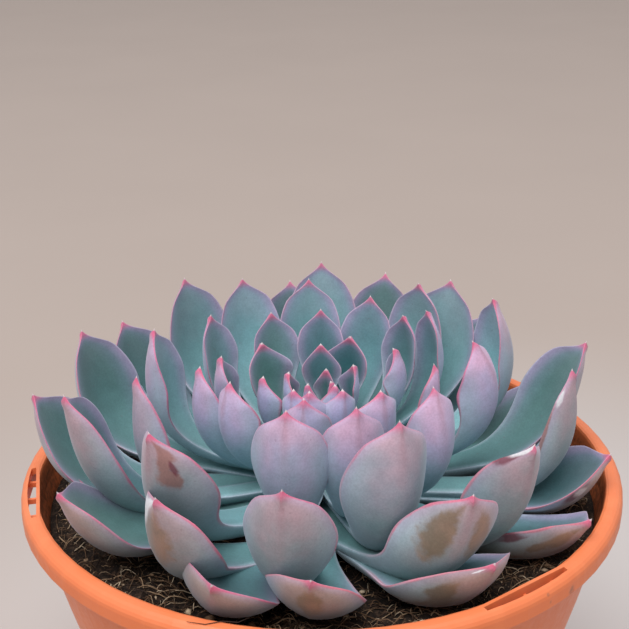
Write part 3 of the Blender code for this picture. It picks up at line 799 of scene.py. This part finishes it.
def soil_finish():
    """Dark potting mix: damp crumbs with brown and tan flecks, darker under the leaves, partly damp and
    partly painted shade.
    """
    f = Finish("potting_mix", 0.9, 0.25)
    crumbs = f.cloud(1.3 * MM, 4, rough=0.65)
    flecks = f.cloud(0.5 * MM, 2)
    colour = f.ramp(crumbs, (0.3, 16, 11, 9), (0.52, 38, 27, 20), (0.72, 80, 60, 46))
    colour = f.wash(colour, linear(150, 122, 96), f.rise(flecks, 0.64, 0.74), 0.7)
    # Painted shade, with damp: the mix is darker under the rosette.
    colour = f.shade(colour, f.rise(f.from_axis(), *DAMP_AND_SHADE_RADII, DAMP_AND_SHADE_FACTOR, 1))
    f.bump(f.plus(crumbs, f.times(flecks, 0.5)), 0.6 * MM, 0.8)
    return f.colour(colour)


def fibre_finish():
    """Coir: each strand has its own tone, from dark brown to pale straw."""
    f = Finish("coir_fibre", 0.7, 0.3)
    tone, light, _ = f.layer("strand_tone")
    fleck = f.cloud(0.8 * MM, 2)
    colour = f.ramp(tone, (0.0, 44, 28, 20), (0.35, 104, 76, 54), (0.7, 166, 136, 106),
                    (1.0, 214, 194, 166))
    value = f.times(f.rise(fleck, 0.3, 0.7, 0.75, 1.1), f.plus(0.8, f.times(light, 0.3)))
    f.bump(fleck, 0.05 * MM, 0.4)
    return f.colour(f.shade(colour, value))


def floor_finish():
    """A plain floor, with a painted pool of light around the pot."""
    f = Finish("studio_floor", 0.9, 0.2)
    # Painted light: the floor is paler in a pool around the pot.
    near = f.rise(f.distance(f.here(), FLOOR_LIGHT_POOL_PLACE), *FLOOR_LIGHT_POOL_REACH)
    colour = f.blend(near, FLOOR_COLOUR + (1,), FLOOR_LIGHT_POOL_COLOUR + (1,))
    return f.colour(f.shade(colour, f.rise(f.cloud(0.12, 2), 0, 1, 0.98, 1.02)))


def body_radius(height):
    """Outer radius of the pot's body at a height below its skirt."""
    drop = POT_HEIGHT - SKIRT_DEPTH - height
    return BODY_TOP_RADIUS - BODY_TAPER * drop - BODY_BOW * drop * drop


def soil_level(radius):
    """Height of the part's soil, without its lumps."""
    share = (radius - SOIL_RISE_FROM) / (SOIL_RISE_TO - SOIL_RISE_FROM)
    return POT_HEIGHT - SOIL_DROP + SOIL_RISE * float(smooth(share))


def circle(radius, count):
    """Points on a circle about the axis, as x and y."""
    turns = [2 * math.pi * n / count for n in range(count)]
    return [(radius * math.cos(turn), radius * math.sin(turn)) for turn in turns]


# The potting mix's relief: size, height and shift of its noise.
LUMPS = (9 * MM, 0.7 * MM, (0, 0, 0))
CRUMBS = (3 * MM, 0.75 * MM, (3, 1, 7))
GRIT = (1.2 * MM, 0.9 * MM, (9, 4, 2))

# The slab of crumbs. Its rings run from the stem to a gap before the pot's wall, which is looked
# up at the height that the mix has at CRUMB_WALL_AT. Near the wall the relief fades.
CRUMB_RINGS = 72
CRUMB_STEPS = 420
CRUMB_INNER = 8 * MM
CRUMB_DEPTH = 1.6 * MM
CRUMB_COVER = 0.5 * MM
CRUMB_WALL_AT = 60 * MM
CRUMB_GAP = 0.35 * MM
CRUMB_UNDERCUT = 0.3 * MM
CRUMB_FADE = 1.5 * MM
WALL_RELIEF = 0.4


def crumb_height(x, y):
    """Relief of the potting mix: lumps, crumbs and grit."""

    def relief(size, height, shift):
        return noise.noise(Vector((x, y, 0)) / size + Vector(shift)) * height

    return relief(*LUMPS) + relief(*CRUMBS) + abs(relief(*GRIT))


def crumb_bed():
    """The top of the potting mix as a closed slab, sunk into the part's soil."""
    edge = body_radius(soil_level(CRUMB_WALL_AT)) - WALL_THICKNESS - CRUMB_GAP
    points = []
    for k in range(CRUMB_RINGS):
        radius = CRUMB_INNER + (edge - CRUMB_INNER) * k / (CRUMB_RINGS - 1)
        level = soil_level(radius)
        relief = WALL_RELIEF + (1 - WALL_RELIEF) * min(1, (edge - radius) / CRUMB_FADE)
        for x, y in circle(radius, CRUMB_STEPS):
            rise = CRUMB_COVER + crumb_height(x, y) * relief
            points.append((x, y, level + rise))
    for radius in (edge - CRUMB_UNDERCUT, CRUMB_INNER):
        level = soil_level(radius) - CRUMB_DEPTH
        points += [(x, y, level) for x, y in circle(radius, CRUMB_STEPS)]
    faces = []
    rings = CRUMB_RINGS + 2
    for k in range(rings):
        following = (k + 1) % rings
        faces += band(k * CRUMB_STEPS, following * CRUMB_STEPS, CRUMB_STEPS, turned=True)
    return points, faces


# A strand's sides, the share of its thickness that is left at its ends, how much of a half turn
# its swelling takes up, and a rough upward direction.
STRAND_SIDES = 5
STRAND_END = 0.35
STRAND_SWELLING = (0.1, 0.9)
STRAND_UP = (0.13, 0.21, 0.97)


def tube(path, thick, tone):
    """A closed strand along a path, tapering to both ends, with its tone as a layer."""
    path = [Vector(p) for p in path]
    points, faces = [], []
    up = Vector(STRAND_UP).normalized()
    for k, middle in enumerate(path):
        ahead = path[min(k + 1, len(path) - 1)] - path[max(k - 1, 0)]
        across = ahead.cross(up).normalized()
        over = across.cross(ahead).normalized()
        fullness = math.sin(math.pi * np.interp(k, (0, len(path) - 1), STRAND_SWELLING))
        radius = thick / 2 * (STRAND_END + (1 - STRAND_END) * fullness)
        for n in range(STRAND_SIDES):
            turn = 2 * math.pi * n / STRAND_SIDES
            points.append(middle + radius * (math.cos(turn) * across + math.sin(turn) * over))
    for k in range(len(path) - 1):
        faces += band(k * STRAND_SIDES, (k + 1) * STRAND_SIDES, STRAND_SIDES)
    faces.append(tuple(reversed(range(STRAND_SIDES))))
    faces.append(tuple(range((len(path) - 1) * STRAND_SIDES, len(path) * STRAND_SIDES)))
    return [tuple(p) for p in points], faces, {"strand_tone": np.tile(tone, (len(points), 1))}


# Coir fibres. Lengths, thicknesses and arches in millimetres, and curls in radians. Most are
# short and dark.
FIBRE_COUNT = 4200
FIBRE_STEPS = 5
FIBRE_INNER_SHARE = 0.2
FIBRE_OUTER = 62.5 * MM
FIBRE_SHORTEST = 2
FIBRE_LENGTH_RANGE = 6
FIBRE_SHORTNESS = 1.7
FIBRE_THICKNESS = (0.09, 0.28)
FIBRE_ARCH = (-0.2, 1.5)
FIBRE_CURL = 0.35
FIBRE_JITTER = 0.12
FIBRE_PALEST = 0.97
FIBRE_DARKNESS = 1.5

# Single fibres that lie on the rim and under a leaf: tone, thickness and path in millimetres.
LOOSE_FIBRES = (
    (0.02, 0.2, ((-26.4, -63.4, 95.15), (-22.8, -64.3, 95.15), (-19.6, -63.6, 95.3),
                 (-16.5, -63.9, 95.2), (-14.3, -62.6, 95.4))),
    (0.75, 0.5, ((21.1, -51.5, 86.3), (23, -48.4, 86.9), (25.3, -46, 87.3), (27.4, -44.6, 87.4),
                 (30, -43.6, 87.2))),
)


def strand(rng, radius, length, thick, tone, lift):
    """One gently curved strand of coir lying on the mix."""
    turn = rng.uniform(0, 2 * math.pi)
    x, y = radius * math.cos(turn), radius * math.sin(turn)
    heading = rng.uniform(0, 2 * math.pi)
    curl = rng.uniform(-FIBRE_CURL, FIBRE_CURL)
    path = []
    for k in range(FIBRE_STEPS + 1):
        share = k / FIBRE_STEPS
        far = math.hypot(x, y)
        if far > FIBRE_OUTER:
            x, y = x * FIBRE_OUTER / far, y * FIBRE_OUTER / far
        ground = soil_level(math.hypot(x, y)) + CRUMB_COVER + crumb_height(x, y)
        path.append((x, y, ground + thick / 2 + lift * math.sin(math.pi * share)))
        heading += curl / FIBRE_STEPS * 2 + rng.uniform(-FIBRE_JITTER, FIBRE_JITTER)
        x += length / FIBRE_STEPS * math.cos(heading)
        y += length / FIBRE_STEPS * math.sin(heading)
    return tube(path, thick, tone)


def fibres(rng):
    """Coir scattered evenly over the outer part of the mix, and the single fibres."""
    shapes = []
    for _ in range(FIBRE_COUNT):
        radius = FIBRE_OUTER * math.sqrt(rng.uniform(FIBRE_INNER_SHARE, 1))
        longer = FIBRE_LENGTH_RANGE * rng.uniform(0, 1) ** FIBRE_SHORTNESS
        length = (FIBRE_SHORTEST + longer) * MM
        thick = rng.uniform(*FIBRE_THICKNESS) * MM
        tone = (rng.uniform(0, FIBRE_PALEST) ** FIBRE_DARKNESS, rng.uniform(0, 1), 0)
        arch = rng.uniform(*FIBRE_ARCH) * MM
        shapes.append(strand(rng, radius, length, thick, tone, arch))
    for tone, thick, path in LOOSE_FIBRES:
        shapes.append(tube([[c * MM for c in place] for place in path], thick * MM, (tone, 0.5, 0)))
    return joined(shapes)


# Chips of husk. Their corners lie four around, one above and one below, and are then scaled
# unevenly. Tilts are in radians, and the rise is a share of the chip's size.
CHIP_COUNT = 160
CHIP_INNER_SHARE = 0.1
CHIP_SIZE = (0.35 * MM, 1.0 * MM)
CHIP_TILT = 0.6
CHIP_UNEVEN = (0.75, 1.25)
CHIP_RISE = 0.2
CHIP_CORNERS = ((1.6, 0, 0), (0, 1, 0), (-1.5, 0, 0), (0, -1.1, 0), (0.1, 0.1, 0.6), (0, 0, -0.6))
CHIP_TONES = (0.1, 0.95)


def chips(rng):
    """Small chips of bark and husk: squashed, uneven eight-sided grains."""
    shapes = []
    for _ in range(CHIP_COUNT):
        radius = FIBRE_OUTER * math.sqrt(rng.uniform(CHIP_INNER_SHARE, 1))
        turn = rng.uniform(0, 2 * math.pi)
        x, y = radius * math.cos(turn), radius * math.sin(turn)
        ground = soil_level(radius) + CRUMB_COVER + crumb_height(x, y)
        size = rng.uniform(*CHIP_SIZE)
        spin = Matrix.Rotation(rng.uniform(0, 2 * math.pi), 3, "Z")
        spin = spin @ Matrix.Rotation(rng.uniform(-CHIP_TILT, CHIP_TILT), 3, "X")
        middle = Vector((x, y, ground + CHIP_RISE * size))
        points = []
        for corner in CHIP_CORNERS:
            stretched = Vector(corner) * size * rng.uniform(*CHIP_UNEVEN)
            points.append(tuple(spin @ stretched + middle))
        faces = []
        for n in range(4):
            m = (n + 1) % 4
            faces += [(n, m, 4), (m, n, 5)]
        tone = (rng.uniform(*CHIP_TONES), rng.uniform(0, 1), 0)
        shapes.append((points, faces, {"strand_tone": np.tile(tone, (len(points), 1))}))
    return joined(shapes)


# The stem: sides, heights of its narrowing top as shares of the ranks, and leaf scars below.
STEM_SIDES = 40
STEM_SHARES = (0.04, 0.1, 0.2, 0.32, 0.45, 0.6, 0.8)
STEM_RINGS = 16
SCAR_COUNT = 5
SCAR_DEPTH = 0.2 * MM


def stem():
    """The stem as a turned, closed solid, lightly ringed by old leaf scars."""
    profile = []
    for share in STEM_SHARES:
        radius, height = root_place(share * OUTER_RANK)
        profile.append((radius / ROOT_DEPTH, POT_HEIGHT + height))
    low = POT_HEIGHT + LOWEST_ROOT
    foot = POT_HEIGHT - STEM_FOOT_DROP
    for k in range(STEM_RINGS):
        share = k / (STEM_RINGS - 1)
        ring = SCAR_DEPTH * math.sin(SCAR_COUNT * 2 * math.pi * share)
        profile.append((STEM_RADIUS - SCAR_DEPTH + ring, low + (foot - low) * share))
    points = [(0, 0, POT_HEIGHT + APEX_HEIGHT + APEX_RISE)]
    for radius, height in profile:
        points += [(x, y, height) for x, y in circle(radius, STEM_SIDES)]
    points.append((0, 0, foot))
    faces = [(0, 1 + n, 1 + (n + 1) % STEM_SIDES) for n in range(STEM_SIDES)]
    for k in range(len(profile) - 1):
        faces += band(1 + k * STEM_SIDES, 1 + (k + 1) * STEM_SIDES, STEM_SIDES, turned=True)
    last = 1 + (len(profile) - 1) * STEM_SIDES
    faces += [(last + n, len(points) - 1, last + (n + 1) % STEM_SIDES) for n in range(STEM_SIDES)]
    return points, faces


def camera():
    """The photograph's camera: in front of the pot and above it, tilted and rolled a little."""
    pitch, roll = math.radians(CAMERA_PITCH), math.radians(CAMERA_ROLL)
    ahead = Vector((0, math.cos(pitch), -math.sin(pitch)))
    level = Vector((1, 0, 0))
    above = level.cross(ahead)
    right = math.cos(roll) * level + math.sin(roll) * above
    up = math.cos(roll) * above - math.sin(roll) * level
    lens = bpy.data.cameras.new("camera")
    lens.sensor_width = SENSOR_WIDTH
    lens.sensor_fit = "HORIZONTAL"
    lens.lens = FOCAL_PIXELS / PICTURE_SIDE * SENSOR_WIDTH
    lens.clip_start = 0.01
    made = bpy.data.objects.new("camera", lens)
    place = Matrix((right, up, -ahead)).transposed().to_4x4()
    place.translation = Vector(CAMERA_PLACE)
    made.matrix_world = place
    bpy.context.scene.collection.objects.link(made)
    bpy.context.scene.camera = made


def key_lamp():
    """One broad disk of light, high in front of the plant."""
    light = bpy.data.lights.new("key", "AREA")
    light.shape = "DISK"
    light.size = KEY_SIDE
    light.energy = KEY_POWER
    light.color = KEY_COLOUR
    made = bpy.data.objects.new("key", light)
    made.location = KEY_PLACE
    made.rotation_euler = (Vector(KEY_AIM) - Vector(KEY_PLACE)).to_track_quat("-Z", "Y").to_euler()
    bpy.context.scene.collection.objects.link(made)


def studio():
    """A plain floor under broad soft light."""
    half = FLOOR_SIDE / 2
    corners = [(-half, -half, 0), (half, -half, 0), (half, half, 0), (-half, half, 0)]
    floor = piece("studio_floor", corners, [(0, 1, 2, 3)])
    floor.data.materials.append(floor_finish())
    world = bpy.data.worlds.new("studio_world")
    bpy.context.scene.world = world
    world.use_nodes = True
    sky = world.node_tree.nodes["Background"]
    sky.inputs["Color"].default_value = SKY_COLOUR + (1,)
    sky.inputs["Strength"].default_value = SKY_STRENGTH
    key_lamp()
    bpy.context.scene.view_settings.view_transform = "Standard"


# The pieces that stand in for the part's leaves, each with its ranks.
LEAF_GROUPS = {"leaves_heart": (0, 4), "leaves_middle": (4, 7.2), "leaves_outer": (7.2, 11)}


def main():
    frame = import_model()
    camera()
    studio()

    rng = np.random.default_rng(SEED)
    bloom = leaf_finish()
    shapes = {name: [] for name in LEAF_GROUPS}
    for number in range(LEAF_COUNT):
        shape = leaf_surface(number, rng)
        if number in LOST_LEAVES:
            continue
        rank = leaf_place(number)[1]
        for name, (low, high) in LEAF_GROUPS.items():
            if low <= rank < high:
                shapes[name].append(shape)
    for name, some in shapes.items():
        leaves = piece(name, *joined(some))
        leaves.data.materials.append(bloom)
        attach(leaves, "root")
        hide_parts("rosette")
    trunk = piece("stem_fine", *stem())
    trunk.data.materials.append(stem_finish())
    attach(trunk, "root")
    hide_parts("rosette")

    mix = soil_finish()
    coir = fibre_finish()
    bed = piece("crumb_bed", *crumb_bed())
    bed.data.materials.append(mix)
    strands = piece("coir_fibres", *fibres(rng))
    strands.data.materials.append(coir)
    grains = piece("husk_chips", *chips(rng))
    grains.data.materials.append(coir)
    for made in (bed, strands, grains):
        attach(made, "root")

    for node, finish in (("pot", pot_finish()), ("soil", mix)):
        target = frame["nodes"][node]
        target.data.materials.clear()
        target.data.materials.append(finish)


main()
